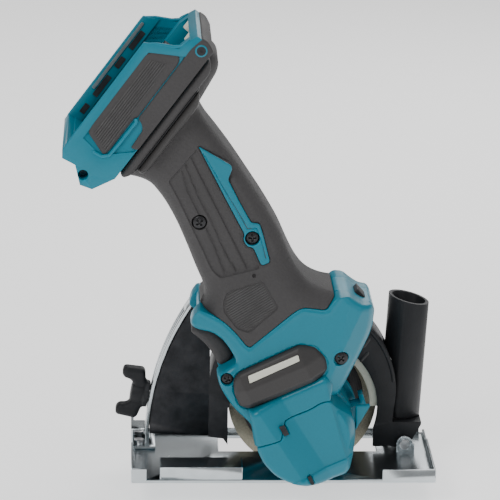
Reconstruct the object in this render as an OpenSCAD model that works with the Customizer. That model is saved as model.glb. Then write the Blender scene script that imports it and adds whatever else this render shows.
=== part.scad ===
// Compact cordless disc saw: an 85 mm diamond disc in a tilting guard on a folded steel base,
// with the motor inside an upright handle and a slide-on battery foot at the top.
// +X is the front, +Y the disc side, +Z up. The origin is on the sole, on the cut line,
// straight below the pivot that sets the cutting depth.

/* [Disc] */
// Disc diameter
disc_d = 85; // [76:1:85]
// Thickness of the diamond rim
rim_t = 2; // [1.2:0.1:2.2]
// Radial width of the diamond rim
rim_w = 7.5; // [5:0.5:9]

/* [Base] */
// Base length behind the depth pivot
base_rear = 156; // [154:1:157]
// Base length ahead of the depth pivot
base_front = 14; // [13:0.5:16]
// Width of the base on the motor side of the cut line
base_near = 61; // [58:1:62]
// Thickness of the steel plate
plate_t = 2; // [1.6:0.1:2]

/* [Depth setting] */
// Height of the depth pivot above the sole
pivot_z = 7; // [7:0.5:7.5]
// Height of the spindle above the sole
spindle_z = 28.3; // [28.3:0.1:30]
// Distance of the spindle behind the pivot
spindle_back = 58; // [57.5:0.5:58.5]
// Outer radius of the curved depth guide about the pivot
guide_r = 148; // [148:0.5:149]

/* [Handle] */
// Distance of the handle's middle plane from the cut line
mid = 42; // [42:0.5:43]
// Half the width of the handle
grip_half = 25; // [24.5:0.5:26]
// Wall of the moulded shells
wall = 2.5; // [2:0.1:2.8]
// Lean of the motor from the vertical
lean = 20; // [19:0.5:21]

/* [Gears] */
// Teeth on the crown wheel
wheel_teeth = 36; // [36:1:36]
// Teeth on the motor pinion
pinion_teeth = 9; // [9:1:9]

/* [Hidden] */
$fn = 48;
cut = 0.1;                                // overrun of cutting shapes
disc_r = disc_d / 2;
core_r = disc_r - rim_w;
spindle_r = 6;
bearing_r = 14;
pin_r = 2;
far_face = -17;                           // side of the motor unit that faces the guard
near_face = -mid - grip_half;             // handle's outer face, motor side
nose_face = -78;                          // outermost face of the gear cover
guard_in = -13.5;                         // inner face of the guard wall
guard_out = -15.5;                        // outer face of the guard wall
guard_far = 11;                           // outer face of the guard on the disc side
guard_r = 53.2;
guard_z = 38;                             // centre height of the guard's round top
knob_angle = 10.3;                        // place of the clamp knob on the depth guide
foot_tilt = 53.5;                         // slope of the battery rails
foot_seat = -32;                          // bottom of the battery foot, in its own frame
foot_half = 33;                           // half the width of the battery foot
trigger_dir = [0.82, 0, 0.57];
can_r = 17.5;                             // motor can's outer radius
can_base = 30.5;                          // where the motor sits on the gear case
can_start = 42;                           // start of the can's closed end
can_len = 52;
wheel_r = 20.6;                           // crown wheel's outer radius
case_r = 22.8;                            // gear case's outer radius
collar_y = -27.8;                         // where the gear cover meets the far collar
room_r = 23.2;                            // space for the gear case in the shells
motor_room_r = 19.5;
screw_depth = 2.2;                        // depth of the screw recesses
lock_angle = 17;                          // direction of the spindle lock above the horizontal
screw_places = [[-119.4, 152.4], [-90.7, 144]];
head_screw_places = [[-41, 74.9], [-104.4, 62.6]];

// ---- Placement helpers -------------------------------------------------------------------

// Extrudes an outline drawn in X and Z between two Y positions
module slab(y0, y1) {
    translate([0, y1, 0]) rotate([90, 0, 0]) linear_extrude(y1 - y0) children();
}

// Turns children drawn along +Z so that they point along +Y from y0
module along_y(x, y0, z) { translate([x, y0, z]) rotate([-90, 0, 0]) children(); }

module on_spindle(y0) { along_y(-spindle_back, y0, spindle_z) children(); }

// Motor frame: origin where the motor axis meets the spindle, +Z up the motor axis
module on_motor(s = 0) {
    translate([-spindle_back, -mid, spindle_z]) rotate([0, -lean, 0]) translate([0, 0, s])
        children();
}

// Battery foot frame: X along the rails towards the front, Z out of the rails
module on_foot() { translate([-193, 0, 195.5]) rotate([0, -foot_tilt, 0]) children(); }

// The same frame for outlines drawn in X and Z
module foot_plane() { translate([-193, 195.5]) rotate(foot_tilt) children(); }

// Guide frame: origin at the depth pivot, +Z pointing backwards at a given height angle
module on_guide(angle, y) {
    translate([0, y, pivot_z]) rotate([0, -90 + angle, 0]) children();
}

module tube(r_out, r_in, h) {
    difference() {
        cylinder(r = r_out, h = h);
        translate([0, 0, -cut]) cylinder(r = r_in, h = h + 2 * cut);
    }
}

// A shell half with stepped round shoulders: each step is [depth past the middle, inset]
module rounded_half(side, half, steps) {
    for (i = [0:len(steps) - 1]) {
        inner = i == 0 ? 0 : steps[i - 1][0];
        outer = steps[i][0];
        slab(side < 0 ? -mid - outer : -mid + inner, side < 0 ? -mid - inner : -mid + outer)
            offset(delta = -steps[i][1]) children();
    }
}

shell_steps = [[grip_half - 8, 0], [grip_half - 4, 1.2], [grip_half - 1.5, 3.2], [grip_half, 6]];
head_steps = [[grip_half - 5, 0], [grip_half - 2, 0.8], [grip_half, 2]];

// Arc band about the depth pivot, drawn in X and Z, between two angles above the horizontal
module guide_band(r_in, r_out, a0, a1) {
    steps = 24;
    ring = [for (i = [0:steps]) a0 + (a1 - a0) * i / steps];
    translate([0, pivot_z]) polygon(concat(
        [for (a = ring) [-r_out * cos(a), r_out * sin(a)]],
        [for (i = [steps:-1:0]) [-r_in * cos(ring[i]), r_in * sin(ring[i])]]));
}

// ---- Base --------------------------------------------------------------------------------

module base_plate() {
    length = base_rear + base_front;
    far_edge = 14.5;
    color("lightsteelblue") difference() {
        union() {
            translate([-base_rear, -base_near, 0]) cube([length, base_near + far_edge, plate_t]);
            // near side: short turned-up tab at the rear and a long one at the front
            translate([-base_rear, -base_near, 0]) cube([8.6, 1.6, 8.6]);
            translate([-16, -base_near, 0]) cube([16 + base_front, 1.6, 7.8]);
            // end walls
            translate([-base_rear, -base_near, 0]) cube([1.6, 42, 8.6]);
            translate([base_front - 1.6, -base_near, 0]) cube([1.6, 50, 7.8]);
            translate([base_front - 1.6, -12, 0]) cube([1.6, 22, 5.6]);
            // far edge folded up, ending before the far ear
            translate([-150, far_edge - 1.6, 0]) cube([144, 1.6, 5]);
        }
        // opening for the disc
        translate([-106, guard_out - 0.5, -cut]) cube([90, 25.5, plate_t + 2 * cut]);
    }
}

module rule_holder() {
    // folded channel that a guide rule slides through
    holder_x = -140;
    holder_len = 46;
    color("silver") {
        translate([holder_x, -base_near + 0.2, plate_t]) cube([holder_len, 1.6, 7.3]);
        translate([holder_x, -base_near + 0.2, 7.9]) cube([holder_len, 16, 1.4]);
        translate([holder_x, -46.4, plate_t]) cube([holder_len, 1.6, 7.3]);
    }
}

module pivot_ear(y, x_left, x_right) {
    ear_t = 2;
    color("gainsboro") difference() {
        union() {
            slab(y, y + ear_t) difference() {
                union() {
                    translate([x_left, plate_t]) square([x_right - x_left, pivot_z - plate_t]);
                    translate([0, pivot_z]) circle(r = 4.6);
                }
                translate([-20, plate_t - 10]) square([40, 10]);
            }
        }
        along_y(0, y - cut, pivot_z) cylinder(r = pin_r, h = ear_t + 2 * cut);
    }
}

module pivot_ear_near() { pivot_ear(-18, -4.6, 5.6); }
module pivot_ear_far() { pivot_ear(12, -4.6, 11); }

module pivot_pin() {
    color("silver") {
        along_y(0, -19, pivot_z) cylinder(r = pin_r, h = 34);
        along_y(0, -19.6, pivot_z) cylinder(r = 2.9, h = 1.6);
        along_y(0, 14, pivot_z) cylinder(r = 3.4, h = 1.2);
    }
}

// Bolts that hold the bracket's foot to the plate
module at_bracket_bolts() {
    for (y = [-8.5, 6]) translate([-151.3, y, plate_t]) children();
}

module rear_bracket() {
    color("lightblue") difference() {
        union() {
            // foot on the plate, and the upright that the guide is fixed to
            translate([-156, -14, plate_t]) cube([14, 26, 2]);
            translate([-156, -14, plate_t]) cube([1.6, 26, 13]);
            translate([-156, -14, 13.4]) cube([8, 14, 1.6]);
        }
        at_bracket_bolts() translate([0, 0, -cut]) cylinder(r = 2, h = 4);
    }
}

module bracket_bolts() {
    color("silver") at_bracket_bolts() {
        cylinder(r = 2, h = 2);
        translate([0, 0, 2]) cylinder(r = 2.9, h = 2.4);
    }
}

module depth_guide() {
    // slotted strap, curved about the pivot; the knob clamps the guard to it
    band_w = 14;
    slot_w = 5.6;
    slot_y = -band_w / 2;
    color("silver") difference() {
        slab(-band_w, 0) guide_band(guide_r - 2, guide_r, -1.16, 34);
        slab(slot_y - slot_w / 2, slot_y + slot_w / 2)
            guide_band(guide_r - 4, guide_r + 2, 7, 31.5);
    }
}

// ---- Guard -------------------------------------------------------------------------------

module guard_outline(grow = 0) {
    front = -5.6 + grow;
    bottom = 4.6 - grow;
    intersection() {
        union() {
            translate([-spindle_back - 0.8, guard_z]) circle(r = guard_r + grow, $fn = 96);
            polygon([[-111.9 - grow, guard_z + 3], [front - 0.1, guard_z + 3],
                [-8.4 + grow, 0], [-40, 0], [-112 - grow, 10.5 - grow]]);
        }
        // flat edge just above the base
        translate([-140, bottom]) square([150, 120]);
    }
}

// Front lug that swings on the pivot pin
module pivot_lug() {
    translate([0, pivot_z]) circle(r = 2.5 + pin_r / 2);
    polygon([[-8.1, 4.6], [0, 3.6], [3.4, 6.6], [5.5, 10.7], [9.3, 17.7], [9.4, 19.3],
        [-9, 19.3]]);
}

module blade_guard() {
    color([0.15, 0.16, 0.17]) difference() {
        union() {
            // wall on the motor side, and the rim that joins it to the cover
            slab(guard_out, guard_in) difference() {
                guard_outline();
                translate([-spindle_back, spindle_z]) circle(r = 42);
                translate([-101, 0]) square([83, 28]);
            }
            slab(guard_out, guard_in) difference() {
                intersection() {
                    guard_outline();
                    translate([-spindle_back, spindle_z + 30]) square([52, 60], center = true);
                }
                translate([-spindle_back, spindle_z]) circle(r = 17);
            }
            // seat for the gear case's flange
            on_spindle(guard_out) tube(24, 17, guard_in - guard_out);
            slab(guard_in, guard_far - 2) difference() {
                guard_outline();
                offset(delta = -2) guard_outline();
                translate([-108, -5]) square([97, 35]);
                translate([-130, -5]) square([200, 9.8]);
            }
            slab(guard_out, -2) pivot_lug();
        }
        along_y(0, guard_out - cut, pivot_z) cylinder(r = pin_r + 0.05, h = 30);
        // chute into the dust nozzle
        translate([-20, -7, 34]) cube([20, 14, 30]);
    }
}

module guard_cover() {
    // removable wall on the disc side; it stops well above the sole
    color([0.12, 0.13, 0.14]) slab(guard_far - 2, guard_far) difference() {
        guard_outline();
        translate([-spindle_back, spindle_z]) circle(r = 18);
        translate([-spindle_back - 18, -10]) square([36, 38]);
        translate([-140, -10]) square([150, 32]);
    }
}

module guard_screws() {
    color("dimgray") for (a = [35, 90, 145]) translate([
        -spindle_back - 0.8 + 48 * cos(a), guard_far, guard_z + 48 * sin(a)])
        rotate([-90, 0, 0]) cylinder(r = 3, h = 1.6);
}

module rear_fender() {
    outer = guide_r - 2.4;
    color([0.16, 0.17, 0.18]) difference() {
        union() {
            slab(guard_out, guard_in) fender_outline(outer);
            slab(guard_in, guard_far) difference() {
                fender_outline(outer);
                translate([2.5, -0.5]) fender_outline(outer);
                fender_outline(outer - 2);
            }
        }
        on_guide(knob_angle, -7) cylinder(r = 2.5, h = guide_r);
    }
}

module fender_outline(outer) {
    difference() {
        guide_band(100, outer, 2.2, 37);
        guard_outline(grow = 0.05);
        translate([-111.5, 0]) square([60, 90]);
    }
}

module guard_liner() {
    // pale wear ring inside the guard, open below the spindle
    color("beige") slab(guard_in, -9) difference() {
        translate([-spindle_back, spindle_z]) circle(r = 46);
        translate([-spindle_back, spindle_z]) circle(r = 37.6);
        translate([-spindle_back - 60, spindle_z - 60]) square([120, 60]);
    }
}

module dust_nozzle() {
    nozzle_lean = 3;
    nozzle_base = 20;
    nozzle_len = 76;
    rim_slope = 13.6;
    socket_from = 50;
    color([0.12, 0.12, 0.13]) difference() {
        translate([-2, 0, nozzle_base]) rotate([0, nozzle_lean, 0])
            cylinder(r = 11.6, h = nozzle_len);
        // passage, with a wider socket at its mouth that stops a hose adaptor
        translate([-2, 0, nozzle_base]) rotate([0, nozzle_lean, 0]) {
            translate([0, 0, 10]) cylinder(r = 8.6, h = nozzle_len);
            translate([0, 0, socket_from]) cylinder(r = 9.6, h = nozzle_len);
        }
        // slanted rim
        translate([-14.7, -15, 93.2]) rotate([0, rim_slope, 0]) cube([40, 30, 20]);
        // open side that meets the guard
        slab(-16, 12) guard_outline(grow = 0.1);
    }
}

// ---- Depth clamp -------------------------------------------------------------------------

module knob_stud() {
    color("silver") on_guide(knob_angle, -7) translate([0, 0, guide_r - 10])
        cylinder(r = 2.5, h = 20);
}

module depth_knob() {
    color([0.1, 0.1, 0.11]) on_guide(knob_angle, -7) translate([0, 0, guide_r + 0.3]) {
        difference() {
            union() {
                cylinder(r = 8, h = 3);
                translate([0, 0, 3]) cylinder(r = 6.6, h = 7.5);
                for (s = [-1, 1]) {
                    translate([s > 0 ? 4 : -14, -3.6, 5]) cube([10, 7.2, 7.2]);
                    translate([s * 11.4, 0, 5]) cylinder(r = 3.6, h = 12);
                }
            }
            translate([0, 0, -cut]) cylinder(r = 2.55, h = 10);
        }
    }
}

// ---- Gear head ---------------------------------------------------------------------------

module gear_case() {
    color("darkgray") difference() {
        union() {
            // flange against the guard, end disc and nose boss
            on_spindle(-25) cylinder(r = case_r, h = 25 + guard_out);
            on_spindle(-60) cylinder(r = case_r, h = 2.4);
            on_spindle(-66) cylinder(r = 15, h = 7);
            // barrel round the wheel, open towards the motor
            on_spindle(-58) tube(case_r, wheel_r + 0.6, 34);
            on_motor(21) cylinder(r = 14, h = 8);
            on_motor(27.5) cylinder(r = can_r, h = can_base - 27.5);
        }
        on_spindle(-25 - cut) cylinder(r = bearing_r, h = 10);
        on_spindle(-66 - cut) cylinder(r = 11, h = 9);
        on_motor(8) cylinder(r = 8, h = 15);
        on_motor(22.5) cylinder(r = 9.5, h = 9);
        lock_bore();
    }
}

head_outline_points = [
    [-119, 103.5], [-115.4, 101.8], [-106.7, 97.5], [-99.6, 90.6], [-93.4, 82.8],
    [-91.2, 81.4], [-67.5, 101.7], [-62.7, 104.6], [-51.4, 103.1], [-49.2, 103.6],
    [-44.1, 110.8], [-37.3, 110.6], [-34.2, 108.1], [-24.9, 102], [-21.5, 99.1],
    [-22.4, 91.4], [-23.6, 84.9], [-30.4, 71.7], [-33, 62], [-35.5, 49], [-84, 35],
    [-92, 38.5], [-98.5, 44.5], [-103.4, 51.1], [-107.4, 58.2], [-109.2, 65.5], [-98.2, 72.2],
    [-100.6, 77.6], [-105.4, 84.8], [-111.5, 89.6], [-120, 90.6], [-124, 94], [-122.5, 99]];

module head_outline() { polygon(head_outline_points); }

// Space that the trigger moves through, with running clearance
module trigger_space() {
    for (i = [0:4]) translate([trigger_dir[0], trigger_dir[2]] * i)
        offset(delta = 0.4) trigger_outline();
}

// Bore for the spindle lock pin, through the head and the gear case
module lock_bore() { on_lock() translate([0, 0, wheel_r]) cylinder(r = 2.1, h = 15); }

module on_lock() {
    translate([-spindle_back, -31.2, spindle_z]) rotate([0, 90 - lock_angle, 0]) children();
}

// Room inside both head shells for the motor, the gear case and the trigger
module head_room() {
    slab(near_face + wall, far_face - wall) difference() {
        offset(delta = -wall) head_outline();
        // the tip above the trigger stays solid
        translate([-130, 84]) square([22, 30]);
    }
    on_motor(10) cylinder(r = motor_room_r, h = 110);
    on_spindle(near_face + wall) cylinder(r = room_r, h = 60);
    lock_bore();
    slab(-53.7, -30.3) trigger_space();
    slab(-48.4, -35.6) lock_off_space();
}

module head_shell(side) {
    color([0.13, 0.53, 0.63]) difference() {
        union() {
            rounded_half(side, grip_half, head_steps) head_outline();
            // collar round the gear case, with a ring beside the guard
            if (side > 0) {
                on_spindle(collar_y) cylinder(r = room_r + 3, h = far_face - collar_y);
                on_spindle(-22) cylinder(r = 30, h = 22 + far_face);
            }
        }
        head_room();
        // flat underside that clears the base
        translate([-120, -90, -20]) cube([130, 90, 20 + plate_t + 1.2]);
        if (side < 0) {
            slab(-80, -45.8) cover_outline(grow = 0.15);
            slab(-80, -62) badge_outline(grow = 0.1);
            for (p = head_screw_places) along_y(p[0], near_face - 1, p[1])
                cylinder(r = 3.2, h = 1 + screw_depth);
        }
    }
}
module head_shell_near() { head_shell(-1); }
module head_shell_far() { head_shell(1); }

module cover_outline(grow = 0) {
    offset(delta = grow) polygon([
        [-87.6, 26.5], [-73, 30.8], [-71.1, 41.1], [-57.4, 46.9], [-51.5, 50.9], [-46.6, 51.7],
        [-41, 46.5], [-33, 40], [-31.7, 33.8], [-31.7, 25.6], [-34.8, 12.1], [-42.7, 5],
        [-51, 2.8], [-58.7, 2.8], [-69.3, 5.5], [-76.5, 9.5], [-83.4, 16.9]]);
}

module gear_cover() {
    color([0.13, 0.53, 0.63]) difference() {
        union() {
            slab(-76, -46) cover_outline();
            slab(nose_face, -76) cover_outline(grow = -2);
            // skirt below the head, back to the far collar
            slab(-46, collar_y - 0.2) difference() {
                cover_outline();
                offset(delta = 0.15) head_outline();
            }
        }
        slab(-75, -66.3) intersection() {
            translate([-spindle_back, spindle_z]) circle(r = room_r);
            cover_outline(grow = -2);
        }
        on_spindle(-66.4) cylinder(r = room_r, h = 40);
        lock_bore();
        // two recessed grips for taking the cover off
        slab(nose_face - 1, -76) hook_windows();
    }
}

module hook_windows() {
    polygon([[-74.6, 38.6], [-71.2, 39.6], [-68.4, 34.2], [-71.5, 32.9]]);
    polygon([[-58.4, 10.5], [-56.7, 11.2], [-54.6, 6], [-56.2, 5.4]]);
}

module cover_insert() {
    // dark plugs at the bottom of the recessed grips
    color([0.05, 0.05, 0.06]) {
        slab(-76.4, -76) intersection() {
            offset(delta = -0.15) hook_windows();
            cover_outline(grow = -2.2);
        }
    }
}

module badge_outline(grow = 0) {
    offset(delta = grow) polygon([[-99.7, 67.7], [-60.3, 83.7], [-55.4, 83.3], [-48.8, 76.7],
        [-48.5, 66.6], [-93.1, 46.7], [-99.5, 51.9], [-100.5, 61.6]]);
}

module badge_panel() {
    color([0.24, 0.24, 0.25]) difference() {
        union() {
            slab(-70.5, -62) badge_outline();
            slab(-74, -70.5) badge_outline(grow = -2.2);
        }
        slab(-75, -71) lens_outline(grow = 0.05);
    }
}

module lens_outline(grow = 0) {
    offset(delta = grow) polygon([[-92.6, 66.6], [-66, 78.2], [-64.8, 74.4], [-91.6, 62.6]]);
}

module light_lens() { color("ivory") slab(-74.3, -71.4) lens_outline(); }
module light_board() { color("seagreen") slab(-71.4, -71) lens_outline(grow = -0.6); }

// ---- Handle ------------------------------------------------------------------------------

handle_outline_points = [
    [-119, 103.7], [-115.4, 102], [-106.7, 97.7], [-99.4, 90.8], [-93.4, 83.1], [-91.2, 81.7],
    [-67.5, 102], [-62.7, 104.9], [-51.4, 103.4], [-49.5, 103.9], [-44.3, 111], [-49.8, 112.5],
    [-59.8, 116.9], [-66, 124.8], [-71.2, 135.4], [-75.7, 146.1], [-84.2, 160.9],
    [-92.7, 173.9], [-101.2, 186.9], [-109.8, 198.6], [-118.1, 209], [-120.6, 216],
    [-120.8, 223.2], [-113.5, 236.6], [-110.3, 245], [-110.8, 252.5], [-120, 262],
    [-126.5, 250.2], [-128.6, 243], [-169, 188.4], [-163.4, 177.2], [-155.3, 172],
    [-151.1, 174.9], [-145.5, 172.1], [-138.5, 163.2], [-131.8, 151.1], [-125.8, 137.1],
    [-120.7, 123.9], [-113.8, 110.5]];

module handle_outline() { polygon(handle_outline_points); }

module handle_shell(side) {
    color([0.29, 0.29, 0.3]) difference() {
        union() {
            rounded_half(side, grip_half, shell_steps) handle_outline();
            // flange that widens to the battery foot
            neck_block(side);
        }
        slab(near_face + wall, far_face - wall) offset(delta = -wall) handle_outline();
        on_motor(10) cylinder(r = motor_room_r, h = 110);
        if (side < 0) {
            slab(-70, -62) badge_outline(grow = 0.1);
            for (p = screw_places) along_y(p[0], near_face - 1, p[1])
                cylinder(r = 4.1, h = 1 + screw_depth);
            slab(-70, near_face + 0.8) accent_outline(grow = 0.05);
            slab(-70, near_face + 0.8) grip_outline(grow = 0.05);
            slab(-70, near_face + 0.8) pad_outline(grow = 0.05);
        } else {
            slab(far_face - 0.8, 0) accent_outline(grow = 0.05);
            slab(far_face - 0.8, 0) grip_outline(grow = 0.05);
            slab(far_face - 0.8, 0) pad_outline(grow = 0.05);
        }
        slab(-53.7, -30.3) trigger_space();
        // flat end that the battery foot sits on
        slab(-80, 0) foot_plane() translate([-30, foot_seat]) square([160, 60]);
    }
}
module handle_shell_near() { handle_shell(-1); }
module handle_shell_far() { handle_shell(1); }

module neck_block(side) {
    y0 = side < 0 ? -mid - foot_half + 1 : -mid;
    y1 = side < 0 ? -mid : -mid + foot_half - 1;
    flange_t = 8;
    slab(y0, y1) foot_plane() translate([4, foot_seat - flange_t]) square([78, flange_t + 1]);
}

module accent_outline(grow = 0) {
    offset(delta = grow) polygon([[-119.4, 194.4], [-102.9, 183], [-104.4, 176.5],
        [-92, 152.7], [-87, 151.4], [-81.2, 131], [-84.6, 129.6], [-91.2, 140.4],
        [-95.6, 143.4], [-95, 147.6], [-101.4, 165.4]]);
}

module grip_outline(grow = 0) {
    offset(delta = grow) polygon([[-121.4, 191.4], [-134.6, 175.5], [-110.4, 124.6],
        [-92.6, 127.2], [-92.6, 138.4], [-97.2, 142], [-96.6, 147.4], [-102.6, 164.8]]);
}

module pad_outline(grow = 0) {
    offset(delta = grow) polygon([[-85.9, 119.9], [-78.2, 104.8], [-92.6, 91.8],
        [-104.8, 103.8], [-103, 113]]);
}

module accent_near() {
    color([0.13, 0.53, 0.63]) difference() {
        slab(near_face - 0.2, near_face + 0.8) accent_outline();
        for (p = screw_places) along_y(p[0], near_face - 1, p[1]) cylinder(r = 4.2, h = 3);
    }
}
module accent_far() {
    color([0.13, 0.53, 0.63]) slab(far_face - 0.8, far_face + 0.2) accent_outline();
}
module grip_near() { color([0.22, 0.22, 0.23]) grip_panel(near_face, -1); }
module grip_far() { color([0.22, 0.22, 0.23]) grip_panel(far_face, 1); }
module neck_pad_near() { color([0.22, 0.22, 0.23]) neck_pad(near_face, -1); }
module neck_pad_far() { color([0.22, 0.22, 0.23]) neck_pad(far_face, 1); }

// Soft inlay with lengthwise grooves; both screws pass through holes in it
module grip_panel(face, side) {
    groove_pitch = 7;
    difference() {
        slab(side < 0 ? face : face - 0.8, side < 0 ? face + 0.8 : face) grip_outline();
        for (i = [0:4]) translate([-137 + groove_pitch * i, side < 0 ? face - cut : face - 0.4, 158])
            rotate([0, -26, 0]) translate([0, 0, -26]) cube([1, 0.4 + cut, 60]);
        if (side < 0) for (p = screw_places) along_y(p[0], face - 1, p[1]) cylinder(r = 4.2, h = 3);
    }
}

module neck_pad(face, side) {
    rib_pitch = 2.2;
    difference() {
        slab(side < 0 ? face : face - 0.8, side < 0 ? face + 0.8 : face) pad_outline();
        for (i = [0:9]) translate([-96, side < 0 ? face - cut : face - 0.4, 93 + rib_pitch * i])
            rotate([0, -32, 0]) translate([-15, 0, 0]) cube([36, 0.4 + cut, 0.9]);
    }
}

// ---- Battery foot ------------------------------------------------------------------------

module foot_profile() {
    polygon([[0, 0], [72.8, 0], [81.2, -16.6], [89, -19], [92.5, -20.5], [92.5, -26], [90, -32],
        [4, -32], [-8, -25.6], [-9.9, -19], [-2.5, -10.4], [-3.6, -2.6]]);
}

module battery_foot() {
    side_wall = 3;
    y0 = -mid - foot_half;
    color([0.13, 0.53, 0.63]) on_foot() difference() {
        slab(y0, y0 + 2 * foot_half) foot_profile();
        // channel for the battery, wider below the rails
        translate([4, y0 + side_wall, -4]) cube([84, 2 * (foot_half - side_wall), 10]);
        translate([5, y0 + 2, -17]) cube([80, 2 * (foot_half - 2), 9]);
        translate([5, y0 + side_wall, -12]) cube([80, 2 * (foot_half - side_wall), 10]);
        // deep well, closed at the front by a low wall
        translate([14, y0 + 10, -26]) cube([74, 46, 20]);
        // seats for the side pads
        for (y = [y0 - cut, y0 + 2 * foot_half - 1]) translate([0, y, 0])
            slab(0, 1 + cut) pad_profile();
        // hole in the tail for the latch
        translate([-4.4, y0 + 10, -17]) rotate([0, 30, 0]) rotate([90, 0, 0])
            cylinder(r = 2.8, h = 20);
    }
}

module pad_profile() {
    polygon([[12, -5], [70, -5], [78, -19], [86, -31.5], [22, -31.5], [10, -18]]);
}

module foot_pads() {
    // ribbed side panels, one on each flank of the foot
    pad_ribs = 9;
    color([0.25, 0.25, 0.26]) on_foot() for (side = [-1, 1]) {
        face = -mid + side * foot_half;
        difference() {
            slab(side < 0 ? face : face - 1, side < 0 ? face + 1 : face)
                offset(delta = -0.1) pad_profile();
            for (i = [0:pad_ribs - 1])
                translate([16, side < 0 ? face - cut : face - 0.5, -9 - 1.5 * i])
                    cube([52, 0.5 + cut, 0.7]);
        }
    }
}

module battery_bumpers() {
    color("lemonchiffon") on_foot() for (y = [-mid - 14, -mid + 14]) translate([84, y, -22])
        rotate([0, 90, 0]) cylinder(r = 3.6, h = 4);
}

module rail_strips() {
    // bent steel strips that face the inner rails
    color("silver") on_foot() for (side = [-1, 1])
        translate([26, -mid + side * (foot_half - 3.4) - 0.4, -7.6]) cube([46, 0.8, 7]);
}

module terminal_block() {
    color([0.08, 0.08, 0.09]) on_foot() translate([48, -mid - 15, -26]) cube([24, 30, 11]);
}

module terminal_blades() {
    color("goldenrod") on_foot() for (y = [-11, -4, 4, 11])
        translate([40, -mid + y - 0.4, -24]) cube([8, 0.8, 6]);
}

// ---- Screws and leads ---------------------------------------------------------------------

module pan_screw(x, y, z, r) {
    along_y(x, y, z) difference() {
        cylinder(r = r, h = 2);
        translate([0, 0, -cut]) for (a = [0, 90]) rotate([0, 0, a])
            translate([-2, -0.4, 0]) cube([4, 0.8, 1 + cut]);
    }
}

module case_screws() {
    color([0.12, 0.12, 0.13]) {
        for (p = screw_places) pan_screw(p[0], near_face + 0.2, p[1], 3.8);
        for (p = head_screw_places) pan_screw(p[0], near_face + 0.2, p[1], 3);
    }
}

module motor_leads() {
    color("firebrick") for (s = [-1, 1]) translate([-99.5, -mid + 6 * s, 118.8])
        rotate([0, -26.1, 0]) cylinder(r = 1.1, h = 99);
}

// ---- Motor -------------------------------------------------------------------------------

module motor_can() {
    skirt = can_start - can_base;
    color("slategray") on_motor(can_base) difference() {
        cylinder(r = can_r, h = skirt + can_len);
        // fan chamber with air windows, then the closed end and the main bore
        translate([0, 0, -cut]) cylinder(r = can_r - 1.5, h = skirt + cut);
        translate([0, 0, skirt + 2]) cylinder(r = can_r - 1.5, h = can_len);
        translate([0, 0, skirt - cut]) cylinder(r = 4, h = 3);
        for (a = [0, 60, 120]) rotate([0, 0, a]) translate([-20, -5, 3]) cube([40, 10, 6]);
    }
}

module motor_magnets() {
    color([0.2, 0.2, 0.22]) on_motor(can_start + 8) for (a = [0, 180]) rotate([0, 0, a])
        difference() {
            tube(can_r - 1.5, 13, 34);
            translate([-20, -20, -cut]) cube([40, 23, 36]);
        }
}

module motor_end_bell() {
    color([0.1, 0.1, 0.1]) on_motor(can_start + can_len) difference() {
        cylinder(r = can_r, h = 5);
        translate([0, 0, -cut]) cylinder(r = 4, h = 4);
    }
}

module motor_shaft() {
    color("silver") on_motor(14) cylinder(r = 2.4, h = can_start + can_len - 11);
}

module motor_armature() {
    slots = 5;
    color("chocolate") {
        on_motor(can_start + 10) difference() {
            tube(12, 2.4, 30);
            for (i = [0:slots - 1]) rotate([0, 0, i * 360 / slots])
                translate([8.5, -1, -cut]) cube([6, 2, 31]);
        }
        on_motor(can_start + 43) tube(5.5, 2.4, 7);
    }
}

module motor_fan() {
    blades = 9;
    color([0.9, 0.9, 0.85]) on_motor(32.5) {
        tube(4.5, 2.4, 6);
        tube(15, 2.4, 1.2);
        for (i = [0:blades - 1]) rotate([0, 0, i * 360 / blades])
            translate([4.2, -0.6, 1.2]) cube([10.4, 1.2, 4.8]);
    }
}

// Pinion teeth start half a pitch off the wheel's, so that the two mesh
module motor_pinion() {
    tip_r = 5;
    root_r = 3.2;
    color("gainsboro") on_motor(15) {
        tube(root_r, 2.4, 6);
        for (i = [0:pinion_teeth - 1]) rotate([0, 0, 90 + (i + 0.5) * 360 / pinion_teeth])
            translate([root_r - 0.3, -0.55, 0]) cube([tip_r - root_r + 0.3, 1.1, 5]);
        translate([0, 0, 6]) tube(4.2, 2.4, 1);
    }
}

module crown_wheel() {
    tooth_top = -mid + 4;
    color("gray") {
        on_spindle(-34) tube(wheel_r, spindle_r, 5.5);
        on_spindle(-36) tube(10, spindle_r, 2);
        for (i = [0:wheel_teeth - 1]) on_spindle(tooth_top)
            rotate([0, 0, -90 + lean + i * 360 / wheel_teeth])
                translate([15, -0.5, 0]) cube([5.4, 1, -33.5 - tooth_top]);
    }
}

module spindle() {
    color("silver") {
        on_spindle(-60) cylinder(r = spindle_r, h = 54);
        on_spindle(-65.2) cylinder(r = 4, h = 5.3);
    }
}

module spindle_bearings() {
    color("lightgray") {
        on_spindle(-25) tube(bearing_r, spindle_r + 0.05, 8);
        on_spindle(-65.4) tube(11, 4.05, 5.4);
        on_motor(22.5) tube(9.5, 2.45, 7);
    }
}

// ---- Disc --------------------------------------------------------------------------------

module inner_flange() {
    color("silver") {
        on_spindle(-6) cylinder(r = 15, h = 5.3);
        on_spindle(-0.7) cylinder(r = 7.5, h = 1.2);
    }
}
module disc_core() { color([0.1, 0.1, 0.1]) on_spindle(-0.7) tube(core_r, 7.5, 1.4); }
module disc_rim() { color([0.47, 0.45, 0.38]) on_spindle(-rim_t / 2) tube(disc_r, core_r, rim_t); }
module outer_flange() { color("silver") on_spindle(0.7) tube(15, 3, 3.3); }
module disc_bolt() {
    color("dimgray") {
        on_spindle(0.5) cylinder(r = 3, h = 4);
        on_spindle(4) cylinder(r = 5.8, h = 5, $fn = 6);
    }
}

// ---- Switches and buttons ----------------------------------------------------------------

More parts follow.
